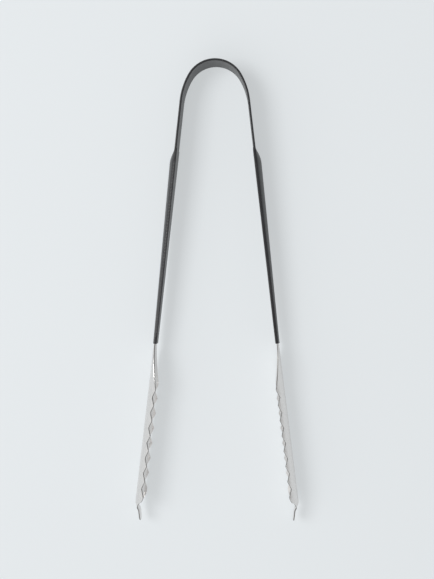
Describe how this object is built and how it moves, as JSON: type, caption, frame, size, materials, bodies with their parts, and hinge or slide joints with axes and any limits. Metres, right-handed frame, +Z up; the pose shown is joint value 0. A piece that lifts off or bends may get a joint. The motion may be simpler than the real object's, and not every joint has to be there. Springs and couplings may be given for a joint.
{
  "type": "kitchen tongs",
  "caption": "Sprung kitchen tongs bent from a steel strip, with a dark soft-touch cover over the bow and handles, and bare trough-shaped jaws with toothed edges and narrow lips.",
  "frame": {"origin": "centre of the footprint of the tongs lying on one side, on the plane they lie on", "axes": "+Y along the tongs from the jaws to the bow, +X across the spread of the arms, +Z up out of the side"},
  "size_m": [0.1058, 0.2976, 0.022],
  "materials": {
    "soft_touch_cover": "satin soft-touch",
    "stainless_steel": "satin brushed"
  },
  "bodies": {
    "bow_crown": {"spring_strip_crown": "stainless_steel", "bow_sleeve_crown": "soft_touch_cover"},
    "right_bow_link_1": {"right_spring_strip_1": "stainless_steel", "right_bow_sleeve_1": "soft_touch_cover"},
    "right_bow_link_2": {"right_spring_strip_2": "stainless_steel", "right_bow_sleeve_2": "soft_touch_cover"},
    "right_handle_and_jaw": {"right_arm": "stainless_steel", "right_leg_sleeve": "soft_touch_cover", "right_grip": "soft_touch_cover"},
    "left_bow_link_1": {"left_spring_strip_1": "stainless_steel", "left_bow_sleeve_1": "soft_touch_cover"},
    "left_bow_link_2": {"left_spring_strip_2": "stainless_steel", "left_bow_sleeve_2": "soft_touch_cover"},
    "left_handle_and_jaw": {"left_arm": "stainless_steel", "left_leg_sleeve": "soft_touch_cover", "left_grip": "soft_touch_cover"}
  },
  "joints": [
    {"name": "right_bow_flex_1", "type": "hinge", "parent": "bow_crown", "child": "right_bow_link_1", "pos_m": [0.00916, 0.14484, 0.011], "axis": [0, 0, -1], "range_deg": [0, 4], "stiffness_Nm_per_rad": 7.7},
    {"name": "right_bow_flex_2", "type": "hinge", "parent": "right_bow_link_1", "child": "right_bow_link_2", "pos_m": [0.01935, 0.12997, 0.011], "axis": [0, 0, -1], "range_deg": [0, 3.41], "stiffness_Nm_per_rad": 9},
    {"name": "right_bow_flex_3", "type": "hinge", "parent": "right_bow_link_2", "child": "right_handle_and_jaw", "pos_m": [0.02251, 0.1094, 0.011], "axis": [0, 0, -1], "range_deg": [0, 2.61], "stiffness_Nm_per_rad": 11.8},
    {"name": "left_bow_flex_1", "type": "hinge", "parent": "bow_crown", "child": "left_bow_link_1", "pos_m": [-0.00916, 0.14484, 0.011], "axis": [0, 0, 1], "range_deg": [0, 4.01], "stiffness_Nm_per_rad": 7.7},
    {"name": "left_bow_flex_2", "type": "hinge", "parent": "left_bow_link_1", "child": "left_bow_link_2", "pos_m": [-0.01935, 0.12997, 0.011], "axis": [0, 0, 1], "range_deg": [0, 3.41], "stiffness_Nm_per_rad": 9},
    {"name": "left_bow_flex_3", "type": "hinge", "parent": "left_bow_link_2", "child": "left_handle_and_jaw", "pos_m": [-0.02251, 0.1094, 0.011], "axis": [0, 0, 1], "range_deg": [0, 2.61], "stiffness_Nm_per_rad": 11.8}
  ],
  "couplings": [
    {"joint": "right_bow_flex_2", "follows": "right_bow_flex_1", "ratio": 0.85},
    {"joint": "right_bow_flex_3", "follows": "right_bow_flex_1", "ratio": 0.65},
    {"joint": "left_bow_flex_1", "follows": "right_bow_flex_1", "ratio": 1},
    {"joint": "left_bow_flex_2", "follows": "right_bow_flex_1", "ratio": 0.85},
    {"joint": "left_bow_flex_3", "follows": "right_bow_flex_1", "ratio": 0.65}
  ]
}
